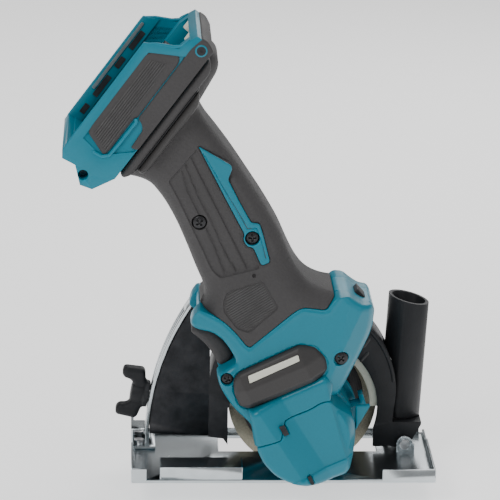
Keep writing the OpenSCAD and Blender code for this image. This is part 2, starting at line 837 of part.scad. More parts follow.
module trigger_outline() {
    polygon([[-123.6, 85.4], [-121.4, 88.6], [-112.6, 88.6], [-106.2, 84.2], [-101.4, 77.4],
        [-99, 72.6], [-105.6, 66], [-108.2, 66.6], [-110.4, 71.6], [-114.4, 77.4],
        [-120, 83]]);
}

module trigger() { color([0.27, 0.27, 0.28]) slab(-53, -31) trigger_outline(); }

module trigger_switch() {
    color([0.9, 0.9, 0.9]) on_motor(87) translate([-can_r - 3.5, -7, 0]) cube([3.5, 14, 12]);
}

module lock_off_outline() {
    polygon([[-34.6, 105.8], [-31.5, 109.4], [-25.2, 102.3], [-28.4, 98.7]]);
}

module lock_off_space() {
    for (i = [0:3]) translate([-0.75, -0.66] * i) offset(delta = 0.3) lock_off_outline();
}

module lock_off_button() { color([0.1, 0.1, 0.11]) slab(-48, -36) lock_off_outline(); }

module lock_button() {
    // spindle lock: a pin aimed at the spindle axis with a finger tab outside the head
    color([0.1, 0.45, 0.55]) on_lock() {
        translate([0, 0, 24.5]) cylinder(r = 2.05, h = 8);
        translate([-5, -4, 32.3]) cube([10, 8, 2.6]);
    }
}

// ---- Drawing -----------------------------------------------------------------------------

base_plate();
rule_holder();
pivot_ear_near();
pivot_ear_far();
pivot_pin();
rear_bracket();
bracket_bolts();
depth_guide();
blade_guard();
guard_cover();
guard_screws();
rear_fender();
guard_liner();
dust_nozzle();
knob_stud();
depth_knob();
gear_case();
gear_cover();
cover_insert();
head_shell_near();
head_shell_far();
badge_panel();
light_lens();
light_board();
handle_shell_near();
handle_shell_far();
grip_near();
grip_far();
accent_near();
accent_far();
neck_pad_near();
neck_pad_far();
battery_foot();
foot_pads();
battery_bumpers();
rail_strips();
terminal_block();
terminal_blades();
case_screws();
motor_can();
motor_magnets();
motor_end_bell();
motor_shaft();
motor_armature();
motor_fan();
motor_pinion();
crown_wheel();
spindle();
spindle_bearings();
inner_flange();
disc_core();
disc_rim();
outer_flange();
disc_bolt();
trigger();
trigger_switch();
lock_off_button();
lock_button();
motor_leads();
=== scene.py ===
"""Looks of a compact cordless disc saw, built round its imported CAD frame.
Every object is in metres. Outlines and reliefs are in millimetres, and MM scales them."""

import math
import bpy
import bmesh
import numpy as np
from mathutils import Matrix, Vector
from mathutils.geometry import delaunay_2d_cdt


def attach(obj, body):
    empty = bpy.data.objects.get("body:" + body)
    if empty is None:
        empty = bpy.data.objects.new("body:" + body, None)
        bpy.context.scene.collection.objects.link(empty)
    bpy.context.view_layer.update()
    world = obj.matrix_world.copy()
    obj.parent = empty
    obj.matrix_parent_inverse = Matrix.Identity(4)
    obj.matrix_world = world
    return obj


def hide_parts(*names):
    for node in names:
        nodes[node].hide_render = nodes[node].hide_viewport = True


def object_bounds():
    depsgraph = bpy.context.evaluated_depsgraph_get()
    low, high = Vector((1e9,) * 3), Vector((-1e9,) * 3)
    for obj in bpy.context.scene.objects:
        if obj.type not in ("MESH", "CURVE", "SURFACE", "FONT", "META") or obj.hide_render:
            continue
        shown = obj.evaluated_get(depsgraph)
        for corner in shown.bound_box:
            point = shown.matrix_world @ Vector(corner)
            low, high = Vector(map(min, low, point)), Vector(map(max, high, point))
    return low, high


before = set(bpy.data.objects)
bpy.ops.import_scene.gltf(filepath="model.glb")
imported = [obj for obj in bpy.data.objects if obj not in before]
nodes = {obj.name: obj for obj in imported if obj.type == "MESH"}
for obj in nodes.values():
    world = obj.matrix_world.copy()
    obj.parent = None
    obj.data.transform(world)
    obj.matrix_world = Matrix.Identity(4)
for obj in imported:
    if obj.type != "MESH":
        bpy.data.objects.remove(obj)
cad_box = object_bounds()
MM = 0.001
# Y of the handle's and head's faces and of the plane between them
NEAR, FAR, MID = -67.0, -17.0, -42.0
# Y of the two sides of the slot that the trigger moves in
SLOT_NEAR, SLOT_FAR = -53.8, -30.2
# Y of the nose's front, and X and Z of the spindle's axis
NOSE = -78
SPINDLE_XZ = (-58, 28.3)
# battery foot: its slope, X and Z of its own origin, and Y of its sides
FOOT_TILT = math.radians(53.5)
FOOT_ORIGIN = (-193, 195.5)
FOOT_NEAR, FOOT_FAR = -75, -9
SHARP_ANGLE = math.radians(38)


# ---- Materials -------------------------------------------------------------------------------

def material(name, color, rough=0.45, metal=0.0, grain=(400, 0.1), wear=None, vary=0.06,
             spec=0.5, coat=0.0, stretch=None, rings=None):
    """Principled surface with colour and roughness variation, grain and worn edges.
    grain is (scale, strength) and wear is the colour of worn edges. stretch scales the grain's
    axes, and rings is the centre (m) of turning marks."""
    m = bpy.data.materials.new(name)
    m.use_nodes = True
    nt = m.node_tree
    n, link = nt.nodes, nt.links.new
    b = n["Principled BSDF"]
    b.inputs["Metallic"].default_value = metal
    b.inputs["Specular IOR Level"].default_value = spec
    b.inputs["Coat Weight"].default_value = coat
    b.inputs["Coat Roughness"].default_value = 0.2
    coord = n.new("ShaderNodeTexCoord").outputs["Object"]
    if stretch:
        mapping = n.new("ShaderNodeMapping")
        mapping.inputs["Scale"].default_value = stretch
        link(coord, mapping.inputs["Vector"])
        fine_coord = mapping.outputs["Vector"]
    else:
        fine_coord = coord

    def noise(scale, detail, vector):
        t = n.new("ShaderNodeTexNoise")
        t.inputs["Scale"].default_value = scale
        t.inputs["Detail"].default_value = detail
        link(vector, t.inputs["Vector"])
        return t.outputs["Fac"]

    def spread(fac, low, high):
        r = n.new("ShaderNodeMapRange")
        r.inputs["From Min"].default_value = 0.3
        r.inputs["From Max"].default_value = 0.7
        r.inputs["To Min"].default_value = low
        r.inputs["To Max"].default_value = high
        link(fac, r.inputs["Value"])
        return r.outputs["Result"]

    broad = noise(35, 3, coord)
    fine = noise(grain[0], 4, fine_coord)
    base = n.new("ShaderNodeMix")
    base.data_type = "RGBA"
    base.inputs[6].default_value = (*[c * (1 - vary) for c in color], 1)
    base.inputs[7].default_value = (*[min(1, c * (1 + vary)) for c in color], 1)
    mixed = n.new("ShaderNodeMath")
    mixed.operation = "MULTIPLY_ADD"
    mixed.inputs[1].default_value = 0.5
    link(broad, mixed.inputs[0])
    half = n.new("ShaderNodeMath")
    half.operation = "MULTIPLY"
    half.inputs[1].default_value = 0.5
    link(fine, half.inputs[0])
    link(half.outputs[0], mixed.inputs[2])
    link(spread(mixed.outputs[0], 0, 1), base.inputs[0])
    out = base.outputs[2]
    if wear:
        geo = n.new("ShaderNodeNewGeometry")
        edge = n.new("ShaderNodeMapRange")
        edge.inputs["From Min"].default_value = 0.53
        edge.inputs["From Max"].default_value = 0.64
        link(geo.outputs["Pointiness"], edge.inputs["Value"])
        patchy = n.new("ShaderNodeMath")
        patchy.operation = "MULTIPLY"
        link(edge.outputs["Result"], patchy.inputs[0])
        link(spread(noise(160, 3, coord), 0.15, 0.8), patchy.inputs[1])
        worn = n.new("ShaderNodeMix")
        worn.data_type = "RGBA"
        worn.inputs[7].default_value = (*wear, 1)
        link(patchy.outputs[0], worn.inputs[0])
        link(out, worn.inputs[6])
        out = worn.outputs[2]
    link(out, b.inputs["Base Color"])
    link(spread(broad, max(0.03, rough - 0.04), rough + 0.04), b.inputs["Roughness"])
    bump = n.new("ShaderNodeBump")
    bump.inputs["Strength"].default_value = grain[1]
    bump.inputs["Distance"].default_value = 0.0003
    height = fine
    if rings:
        wave = n.new("ShaderNodeTexWave")
        wave.wave_type = "RINGS"
        wave.rings_direction = "Y"
        wave.inputs["Scale"].default_value = 260
        wave.inputs["Distortion"].default_value = 0.4
        centred = n.new("ShaderNodeMapping")
        centred.inputs["Location"].default_value = [-c for c in rings]
        link(coord, centred.inputs["Vector"])
        link(centred.outputs["Vector"], wave.inputs["Vector"])
        height = wave.outputs["Fac"]
    link(height, bump.inputs["Height"])
    link(bump.outputs["Normal"], b.inputs["Normal"])
    return m


blue = material("satin_blue", (0.001, 0.165, 0.235), 0.34, grain=(900, 0.05),
                wear=(0.01, 0.3, 0.45), vary=0.05, spec=0.3, coat=0.05)
grip = material("dark_elastomer", (0.05, 0.048, 0.049), 0.62, grain=(650, 0.95),
                wear=(0.1, 0.1, 0.1), vary=0.12, spec=0.25)
black = material("black_plastic", (0.012, 0.013, 0.015), 0.48, grain=(1300, 0.3),
                 wear=(0.05, 0.05, 0.055), vary=0.15, spec=0.25)
charcoal = material("charcoal_plastic", (0.038, 0.036, 0.036), 0.46, grain=(1400, 0.3),
                    wear=(0.1, 0.1, 0.1), vary=0.1, spec=0.3)
zinc = material("bright_zinc", (0.5, 0.54, 0.56), 0.24, 1.0, (700, 0.03), (0.8, 0.84, 0.86), 0.05,
                stretch=(1, 4, 4))
steel = material("turned_steel", (0.55, 0.55, 0.56), 0.3, 1.0, (500, 0.08), (0.75, 0.75, 0.75),
                 0.08)
pale = material("pale_plastic", (0.62, 0.62, 0.52), 0.5, grain=(700, 0.08), vary=0.05)
lens = material("milky_lens", (0.66, 0.66, 0.57), 0.3, grain=(120, 0.1), vary=0.06, coat=0.4)
cast = material("cast_aluminium", (0.5, 0.51, 0.52), 0.45, 1.0, (350, 0.3), (0.7, 0.7, 0.7),
                0.1)
coated = material("disc_coating", (0.02, 0.02, 0.021), 0.4, 0.3, (500, 0.15), vary=0.2,
                  rings=(-0.058, 0, 0.0283))
diamond = material("diamond_grit", (0.28, 0.26, 0.2), 0.5, 0.75, (1600, 0.9),
                   (0.5, 0.47, 0.36), 0.45)
oxide = material("black_oxide", (0.035, 0.035, 0.037), 0.35, 0.8, (500, 0.1), (0.3, 0.3, 0.3),
                 0.2)
copper = material("enamelled_wire", (0.5, 0.2, 0.08), 0.35, 0.8, (500, 0.3), vary=0.2)
brass = material("contact_brass", (0.7, 0.55, 0.25), 0.3, 1.0, (400, 0.1), vary=0.1)
board = material("board_green", (0.03, 0.2, 0.07), 0.4, vary=0.1)
red = material("wire_red", (0.42, 0.03, 0.03), 0.4, vary=0.1)
ferrite = material("ferrite", (0.08, 0.08, 0.085), 0.6, 0.2, (300, 0.3), vary=0.2)

# which CAD nodes carry each material
LOOKS = {
    zinc: ["base_plate", "rule_holder", "pivot_ear_near", "pivot_ear_far", "rear_bracket",
           "depth_guide"],
    steel: ["pivot_pin", "bracket_bolts", "knob_stud", "motor_shaft", "motor_pinion",
            "crown_wheel", "spindle", "spindle_bearings", "inner_flange", "outer_flange",
            "rail_strips", "motor_can"],
    blue: ["lock_button", "battery_foot"],
    black: ["blade_guard", "guard_cover", "rear_fender", "dust_nozzle", "cover_insert",
            "terminal_block", "motor_end_bell", "lock_off_button"],
    pale: ["guard_liner", "battery_bumpers", "motor_fan", "trigger_switch"],
    lens: ["light_lens"],
    cast: ["gear_case"],
    coated: ["disc_core"],
    diamond: ["disc_rim"],
    oxide: ["guard_screws", "disc_bolt"],
    copper: ["motor_armature"],
    brass: ["terminal_blades"],
    board: ["light_board"],
    red: ["motor_leads"],
    ferrite: ["motor_magnets"],
}
# width of the rounded edge on CAD nodes (mm), where it isn't the usual one
USUAL_EDGE = 0.15
SOFT_EDGE = {"base_plate": 0.5, "rule_holder": 0.6, "rear_bracket": 0.5, "depth_guide": 0.3,
             "blade_guard": 0.5, "guard_cover": 0.6, "rear_fender": 0.5, "guard_liner": 0.5,
             "battery_foot": 0.8, "dust_nozzle": 0.5, "lock_off_button": 0.8,
             "lock_button": 0.7, "guard_screws": 0.5, "bracket_bolts": 0.4, "disc_bolt": 0.4,
             "battery_bumpers": 1.4, "light_lens": 0.3, "rail_strips": 0.2, "pivot_pin": 0.5,
             "outer_flange": 0.4, "inner_flange": 0.4, "disc_rim": 0.15}


def soften(obj, width):
    """Welds the CAD triangles and rounds the edges between them (mm), as modifiers."""
    weld = obj.modifiers.new("weld", "WELD")
    weld.merge_threshold = 1e-6
    bevel = obj.modifiers.new("round", "BEVEL")
    bevel.width = width * MM
    bevel.segments = 2
    bevel.limit_method = "ANGLE"
    bevel.angle_limit = math.radians(35)
    bevel.harden_normals = True


for look, members in LOOKS.items():
    for name in members:
        obj = nodes[name]
        obj.data.materials.clear()
        obj.data.materials.append(look)
        for poly in obj.data.polygons:
            poly.use_smooth = True
        soften(obj, SOFT_EDGE.get(name, USUAL_EDGE))


# ---- Outlines --------------------------------------------------------------------------------

def fillet(points, radius, step=1.0):
    """A closed outline with each corner rounded, at about even spacing (mm)."""
    count = len(points)
    radii = radius if isinstance(radius, (list, tuple)) else [radius] * count
    out = []
    for i in range(count):
        p = np.array(points[i], float)
        a = np.array(points[i - 1], float) - p
        b = np.array(points[(i + 1) % count], float) - p
        la, lb = np.linalg.norm(a), np.linalg.norm(b)
        d = min(radii[i], 0.48 * la, 0.48 * lb)
        start, end = p + a / la * d, p + b / lb * d
        for t in np.linspace(0, 1, 7):
            out.append((1 - t) ** 2 * start + 2 * t * (1 - t) * p + t ** 2 * end)
    return respace(np.array(out), step)


def respace(points, step):
    """The same closed line, with its points at an even spacing."""
    closed = np.vstack([points, points[:1]])
    seg = np.linalg.norm(np.diff(closed, axis=0), axis=1)
    along = np.concatenate([[0], np.cumsum(seg)])
    count = max(8, int(along[-1] / step))
    s = np.linspace(0, along[-1], count, endpoint=False)
    return np.stack([np.interp(s, along, closed[:, k]) for k in (0, 1)], 1)


def resample(points, count):
    """An open line with count points, shared out evenly between the given points."""
    t = np.linspace(0, len(points) - 1, count)
    return np.stack([np.interp(t, range(len(points)), points[:, k])
                     for k in range(points.shape[1])], 1)


def straight(a, b, count):
    return np.stack([np.linspace(a[0], b[0], count), np.linspace(a[1], b[1], count)], 1)


def circle(c, r, count=28):
    a = np.linspace(0, 2 * math.pi, count, endpoint=False)
    return np.stack([c[0] + r * np.cos(a), c[1] + r * np.sin(a)], 1)


def normals(loop):
    """Unit vectors square to a closed line, at its points."""
    n = np.roll(loop, -1, axis=0) - np.roll(loop, 1, axis=0)
    n = np.stack([-n[:, 1], n[:, 0]], 1)
    return n / np.maximum(np.linalg.norm(n, axis=1), 1e-9)[:, None]


def beside(loop, offsets):
    """Copies of a line moved sideways by each offset (mm), as extra mesh points."""
    n = normals(loop)
    return [loop + n * offset for offset in offsets]


def distance(p, loop, closed=True):
    """Distance of each point to a line (mm)."""
    if closed:
        a, b = loop, np.roll(loop, -1, axis=0)
    else:
        a, b = loop[:-1], loop[1:]
    best = np.full(len(p), np.inf)
    for s, e in zip(a, b):
        d = e - s
        t = np.clip(((p - s) @ d) / max(d @ d, 1e-12), 0, 1)
        best = np.minimum(best, np.linalg.norm(p - s - t[:, None] * d, axis=1))
    return best


def inside(p, loop):
    """Which of the points lie inside a closed line."""
    x, z = p[:, 0], p[:, 1]
    hit = np.zeros(len(p), bool)
    for (x0, z0), (x1, z1) in zip(loop, np.roll(loop, -1, axis=0)):
        if z0 == z1:
            continue
        hit ^= ((z0 > z) != (z1 > z)) & (x < (x1 - x0) * (z - z0) / (z1 - z0) + x0)
    return hit


def signed(p, loop):
    """Distance to an outline, positive inside it."""
    return np.where(inside(p, loop), 1, -1) * distance(p, loop)


def shoulder(d, r):
    """How far the face drops at distance d from the rim, for a rounding of radius r."""
    d = np.clip(d, 0, r)
    return r - np.sqrt(np.maximum(r * r - (r - d) ** 2, 0))


def step_in(d, width):
    """0 outside, 1 inside, smooth over a width about the line."""
    t = np.clip(d / width + 0.5, 0, 1)
    return t * t * (3 - 2 * t)


def beyond(p, a, b):
    """Distance of points to the right of the line from a to b (mm), 0 on its left."""
    a, b = np.array(a, float), np.array(b, float)
    d = (b - a) / np.linalg.norm(b - a)
    return np.clip((p[:, 0] - a[0]) * d[1] - (p[:, 1] - a[1]) * d[0], 0, None)


# ---- Moulded pieces --------------------------------------------------------------------------

def moulding(name, outline, near, far, r_near, r_far, body, look, slot, replaces=(), grid=1.4,
             holes=(), near_relief=None, far_relief=None, lines=(), to_world=None, round_to=None):
    """A closed solid between two faces at Y near and far. Each face is rounded to the rim, or to
    the outline round_to, and can carry relief: a function of the points (mm) that gives the depth
    towards the inside. lines are extra rows of mesh points."""
    loops = [np.asarray(outline)] + [np.asarray(h) for h in holes]
    points, edges = [], []
    for loop in loops:
        start = len(points)
        points += list(loop)
        edges += [(start + i, start + (i + 1) % len(loop)) for i in range(len(loop))]
    r_max = max(r_near, r_far)
    for line in lines:
        pts = np.asarray(line)
        keep = inside(pts, loops[0]) & (distance(pts, loops[0]) > 0.25)
        for h in loops[1:]:
            keep &= ~inside(pts, h) & (distance(pts, h) > 0.25)
        points += list(pts[keep])
    # rings near the rim, where the rounding is steepest
    loop = loops[0]
    area = np.sum(loop[:, 0] * np.roll(loop[:, 1], -1) - np.roll(loop[:, 0], -1) * loop[:, 1])
    inward = normals(loop) * np.sign(area)
    depths = [r_max * (1 - math.cos(math.radians(a))) for a in (14, 26, 38, 50, 62, 76)]
    for d in depths:
        ring = loop + inward * d
        ok = inside(ring, loop) & (np.abs(distance(ring, loop) - d) < 0.08 * d + 0.01)
        for h in loops[1:]:
            ok &= ~inside(ring, h) & (distance(ring, h) > 0.3)
        points += list(ring[ok])
    # grid inside the rings, with every other row shifted
    low, high = loop.min(0), loop.max(0)
    gx, gz = np.meshgrid(np.arange(low[0], high[0], grid), np.arange(low[1], high[1], grid))
    gx[1::2] += grid / 2
    p = np.stack([gx.ravel(), gz.ravel()], 1)
    p = p[inside(p, loop)]
    p = p[distance(p, loop) > max(0.6 * grid, depths[-1] + 0.3 * grid if r_max > 0 else 0)]
    for h in loops[1:]:
        p = p[~inside(p, h)]
        p = p[distance(p, h) > 0.5 * grid]
    for line in lines:
        p = p[distance(p, np.asarray(line), False) > 0.45 * grid]
    points += list(p)
    plane = [Vector((float(a), float(b))) for a, b in points]
    verts, _, tris, *_ = delaunay_2d_cdt(plane, edges, [], 0, 1e-5)
    flat = np.array([[v.x, v.y] for v in verts])
    tris = np.array([t for t in tris if len(t) == 3])
    centre = flat[tris].mean(1)
    keep = inside(centre, loop)
    for h in loops[1:]:
        keep &= ~inside(centre, h)
    tris = tris[keep]
    # height of the two faces at each point
    edge_d = distance(flat, loop)
    if round_to is not None:
        form_d = signed(flat, round_to)
        y_near = near + shoulder(form_d, r_near) + shoulder(edge_d, 0.4)
        y_far = far - shoulder(form_d, r_far) if r_far else np.full(len(flat), far)
    else:
        y_near = near + shoulder(edge_d, r_near) if r_near else np.full(len(flat), near)
        y_far = far - shoulder(edge_d, r_far) if r_far else np.full(len(flat), far)
    if near_relief is not None:
        y_near = y_near + near_relief(flat)
    if far_relief is not None:
        y_far = y_far - far_relief(flat)
    y_near = np.minimum(y_near, y_far - 0.05)
    bm = bmesh.new()
    front = [bm.verts.new((flat[i, 0], y_near[i], flat[i, 1])) for i in range(len(flat))]
    back = [bm.verts.new((flat[i, 0], y_far[i], flat[i, 1])) for i in range(len(flat))]
    uses_of_edge = {}
    for a, b, c in tris:
        for e in ((a, b), (b, c), (c, a)):
            uses_of_edge.setdefault((min(e), max(e)), []).append(e)
        bm.faces.new((front[a], front[b], front[c]))
        bm.faces.new((back[c], back[b], back[a]))
    for uses in uses_of_edge.values():
        if len(uses) == 1:
            a, b = uses[0]
            bm.faces.new((front[b], front[a], back[a], back[b]))
    loose = [v for v in bm.verts if not v.link_faces]
    bmesh.ops.delete(bm, geom=loose, context="VERTS")
    return finish_piece(bm, name, body, look, replaces, to_world)


def finish_piece(bm, name, body, look, replaces=(), to_world=None):
    """Turns a mesh in mm into a piece that rides on its body."""
    bmesh.ops.recalc_face_normals(bm, faces=bm.faces)
    mesh = bpy.data.meshes.new(name)
    bm.to_mesh(mesh)
    bm.free()
    mesh.transform(Matrix.Scale(MM, 4))
    if to_world is not None:
        mesh.transform(to_world)
    obj = bpy.data.objects.new(name, mesh)
    bpy.context.scene.collection.objects.link(obj)
    for poly in mesh.polygons:
        poly.use_smooth = True
    mesh.set_sharp_from_angle(angle=SHARP_ANGLE)
    mesh.materials.append(look)
    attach(obj, body)
    if replaces:
        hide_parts(*replaces)
    return obj


def skin(bm, rings):
    """Faces between rings of vertices, with a cap on each end."""
    for a, b in zip(rings, rings[1:]):
        for k in range(len(a)):
            k1 = (k + 1) % len(a)
            bm.faces.new((a[k], a[k1], b[k1], b[k]))
    bm.faces.new(rings[0][::-1])
    bm.faces.new(rings[-1])


def bead(name, path, radius, body, look, flatten=1.0):
    """A round bead with tapered ends along a 3-D path (mm)."""
    sections = 10
    path = np.asarray(path, float)
    bm = bmesh.new()
    last = len(path) - 1
    rings = []
    for i in range(len(path)):
        tangent = path[min(i + 1, last)] - path[max(i - 1, 0)]
        tangent /= max(np.linalg.norm(tangent), 1e-9)
        side = np.cross(tangent, (0, 1, 0))
        side /= max(np.linalg.norm(side), 1e-9)
        up = np.cross(side, tangent)
        taper = min(1, 0.25 + 0.75 * min(i, last - i) / 2)
        ring = []
        for k in range(sections):
            a = 2 * math.pi * k / sections
            offset = (side * math.cos(a) + up * math.sin(a) * flatten) * radius * taper
            ring.append(bm.verts.new(path[i] + offset))
        rings.append(ring)
    skin(bm, rings)
    return finish_piece(bm, name, body, look)


def lathe(name, profile, place, axis, body, look, shape):
    """Turns a profile of (radius, height) about an axis; shape scales the radius by angle."""
    sections = 40
    z = Vector(axis).normalized()
    x = Vector((0, 0, 1)).cross(z).normalized()
    y = z.cross(x)
    bm = bmesh.new()
    rings = []
    for r, h in profile:
        ring = []
        for k in range(sections):
            a = 2 * math.pi * k / sections
            out = (x * math.cos(a) + y * math.sin(a)) * r * shape(a, h)
            ring.append(bm.verts.new(Vector(place) + out + z * h))
        rings.append(ring)
    skin(bm, rings)
    return finish_piece(bm, name, body, look)


def ribs(name, outline, lean_deg, pitch, radius, y, body, look, to_world=None, inset=0.9):
    """Fine half-round bars laid across an outline, at a given slope."""
    sections = 8
    lean = math.radians(lean_deg)
    along = np.array((math.cos(lean), math.sin(lean)))
    across = np.array((-along[1], along[0]))
    high = (outline @ across).max()
    level = (outline @ across).min() + inset + radius
    bm = bmesh.new()
    while level < high - inset:
        t = np.linspace((outline @ along).min(), (outline @ along).max(), 300)
        p = t[:, None] * along + level * across
        t = t[inside(p, outline) & (distance(p, outline) > inset)]
        if len(t) > 4:
            rings = []
            for end, size in ((t[0], 0.5), (t[0] + radius, 1), (t[-1] - radius, 1), (t[-1], 0.5)):
                ring = []
                for k in range(sections):
                    a = 2 * math.pi * k / sections
                    q = end * along + (level + radius * size * math.cos(a)) * across
                    ring.append(bm.verts.new((q[0], y + radius * size * math.sin(a), q[1])))
                rings.append(ring)
            skin(bm, rings)
        level += pitch
    return finish_piece(bm, name, body, look, (), to_world)


# ---- Handle ----------------------------------------------------------------------------------

# outlines in X and Z
HANDLE = [(-119, 103.7), (-115.4, 102), (-106.7, 97.7), (-99.4, 90.8), (-93.4, 83.1),
          (-91.2, 81.7), (-67.5, 102), (-62.7, 104.9), (-51.4, 103.4), (-49.5, 103.9),
          (-44.3, 111), (-49.8, 112.5), (-59.8, 116.9), (-66, 124.8), (-71.2, 135.4),
          (-75.7, 146.1), (-84.2, 160.9), (-92.7, 173.9), (-101.2, 186.9), (-109.8, 198.6),
          (-117, 207.5), (-121, 215), (-109.4, 235.5), (-110.2, 243.2), (-117.2, 248.6),
          (-121, 250), (-168.2, 187.2), (-166.5, 179.5),
          (-158.5, 176.6), (-151.1, 174.9), (-145.5, 172.1), (-138.5, 163.2), (-131.8, 151.1),
          (-125.8, 137.1), (-120.7, 123.9), (-115, 111.5)]
ACCENT = [(-120.3, 195.1), (-102.7, 184.7), (-102, 182.7), (-104.2, 176.6), (-97.9, 164.1),
          (-91.5, 152.6), (-86.9, 151.9), (-84.9, 145.7), (-81, 130.7), (-84.6, 128.9),
          (-85.9, 129.3), (-90, 138.5), (-93.6, 139.6), (-95.6, 143), (-95, 146.4),
          (-104.4, 164.1), (-112.4, 179.7)]
GRIP = [(-136.1, 175.5), (-130.8, 165.4), (-123.9, 150.4), (-117.9, 138.1), (-112.5, 125.8),
        (-107.9, 121.6), (-98.7, 123.9), (-86.6, 127.2), (-90.8, 137.4), (-94.6, 138.8),
        (-97.2, 143), (-96.4, 146.8), (-105.8, 164.4), (-114, 180), (-121.2, 193.2)]
GROOVES = [[(-128.8, 181.4), (-126, 170.8), (-118.7, 155.9), (-112, 141.6), (-105.6, 125.2)],
           [(-127, 184.4), (-120.1, 167.5), (-112.1, 151.8), (-105.4, 136.1), (-99.6, 126.2)],
           [(-124, 189), (-114.9, 170.2), (-106.9, 154.6), (-99.5, 139.5), (-93.6, 127.6)]]
PAD = [(-105.8, 108.6), (-103.8, 113.6), (-84.8, 120), (-75.8, 104.6), (-91.6, 90.2),
       (-98.3, 92.6), (-105.7, 102.3)]
PIN_HOLE = (-89.6, 123)
SCREW_UPPER, SCREW_LOWER = (-119.4, 152.4), (-90.7, 144.0)
SCREW_FRONT, SCREW_REAR = (-41.0, 74.9), (-103.4, 63.2)
# radius of the wells that the screws sit in
WELL_R = 4.1
HEAD_WELLS = ((SCREW_FRONT, WELL_R), (SCREW_REAR, 3.5))


def local_foot(p):
    """Foot frame (u, v) of points given in X and Z (mm)."""
    d = p - np.array(FOOT_ORIGIN)
    c, s = math.cos(FOOT_TILT), math.sin(FOOT_TILT)
    return np.stack([d[:, 0] * c + d[:, 1] * s, -d[:, 0] * s + d[:, 1] * c], 1)


handle_line = fillet(HANDLE, 7, 1.0)
# the handle's rounding runs on below its joint with the head
above_head = HANDLE[HANDLE.index((-44.3, 111)) + 1:]
handle_envelope = fillet([(-119, 96), (-110, 60), (-60, 50), (-18, 92), (-24, 112)] + above_head,
                         7, 1.0)
accent_line = fillet(ACCENT, [0.6, 1.6, 1.2, 4, 6, 3, 1.4, 4, 1, 0.8, 1, 2.5, 3, 3, 3, 6, 6], 0.5)
grip_line = fillet(GRIP, [1.2, 4, 4, 4, 3, 2, 2, 1, 1.5, 2, 2, 2, 4, 4, 1], 0.6)
pad_line = fillet(PAD, 2, 0.6)


def handle_relief(p):
    """Recess of the grip panel with its grooves, the ribbed pad's seat, seams and screw wells."""
    d = signed(p, grip_line)
    h = step_in(d, 0.6)
    for g in GROOVES:
        g = np.array(g)
        across = distance(p, g, False)
        left = p[:, 0] < np.interp(p[:, 1], g[::-1, 1], g[::-1, 0])
        scallop = np.where(left, np.exp(-(across / 0.5) ** 2), np.exp(-across / 2.2))
        h += scallop * step_in(d - 0.8, 1)
    d = signed(p, accent_line)
    h += 0.9 * np.exp(-(d / 0.4) ** 2)
    for c in (SCREW_UPPER, SCREW_LOWER):
        q = np.linalg.norm(p - np.array(c), axis=1)
        h += 3.0 * step_in(WELL_R - q, 0.4)
    q = np.linalg.norm(p - np.array(PIN_HOLE), axis=1)
    h += 1.2 * step_in(0.8 - q, 0.5)
    d = signed(p, pad_line)
    h += 0.75 * step_in(d, 0.5)
    return np.minimum(h, 4.5)


def handle_form(p):
    """The handle grows thinner towards the foot, then a little thicker again at its neck."""
    uv = local_foot(p)
    crown = 1.8 * np.clip((p[:, 1] - 120) / 60, 0, 1)
    return crown * (1 - np.clip((uv[:, 1] + 62) / 26, 0, 1) * 0.6)


def handle_face(p):
    return handle_form(p) + handle_relief(p)


handle_lines = (beside(grip_line, (-0.4, 0, 0.4)) + beside(accent_line, (-0.35, 0, 0.35))
                + beside(pad_line, (-0.3, 0, 0.3)))
for c in (SCREW_UPPER, SCREW_LOWER):
    handle_lines += [circle(c, WELL_R - 0.2, 36), circle(c, WELL_R + 0.2, 36)]
handle_lines.append(circle(PIN_HOLE, 0.6, 10))
moulding("handle_body", handle_line, NEAR, FAR, 13, 13, "saw", grip, "dark_grip",
         ("handle_shell_near", "handle_shell_far", "grip_near", "grip_far", "neck_pad_near",
          "neck_pad_far"),
         grid=0.62, near_relief=handle_face, far_relief=handle_face, lines=handle_lines,
         round_to=handle_envelope)

for tag, y in (("near", NEAR + 0.85), ("far", FAR - 0.85)):
    ribs("neck_ribs_" + tag, pad_line, 32, 1.32, 0.42, y, "saw", grip)

accent_seam = np.array([(-117.8, 191.4), (-112, 181.6), (-104.3, 168), (-99.4, 160.2),
                        (-93.4, 149.4), (-88.4, 149.6), (-86.5, 145), (-83.3, 133)])
accent_path = resample(accent_seam, 190)
accent_lines = beside(accent_path, (-0.45, 0, 0.45))
inlay_line = fillet(ACCENT, 1.2, 0.5)
inlay_holes = [circle(SCREW_LOWER, WELL_R, 32)]


def inlay_form(p):
    return handle_form(p) * 0.85


def inlay_near(p):
    """The inlay's crown, with a groove that follows its left edge."""
    groove = distance(p, accent_path, False)
    return inlay_form(p) + 0.45 * np.exp(-(groove / 0.3) ** 2)


moulding("accent_near_inlay", inlay_line, NEAR - 0.15, NEAR + 2.2, 0.5, 0, "saw", blue,
         "blue_plastic", ("accent_near",), grid=0.7, holes=inlay_holes, lines=accent_lines,
         near_relief=inlay_near)
moulding("accent_far_inlay", inlay_line, FAR - 2.2, FAR + 0.15, 0, 0.5, "saw", blue,
         "blue_plastic", ("accent_far",), grid=0.7, holes=inlay_holes, lines=accent_lines,
         far_relief=inlay_form)

# ---- Head ------------------------------------------------------------------------------------

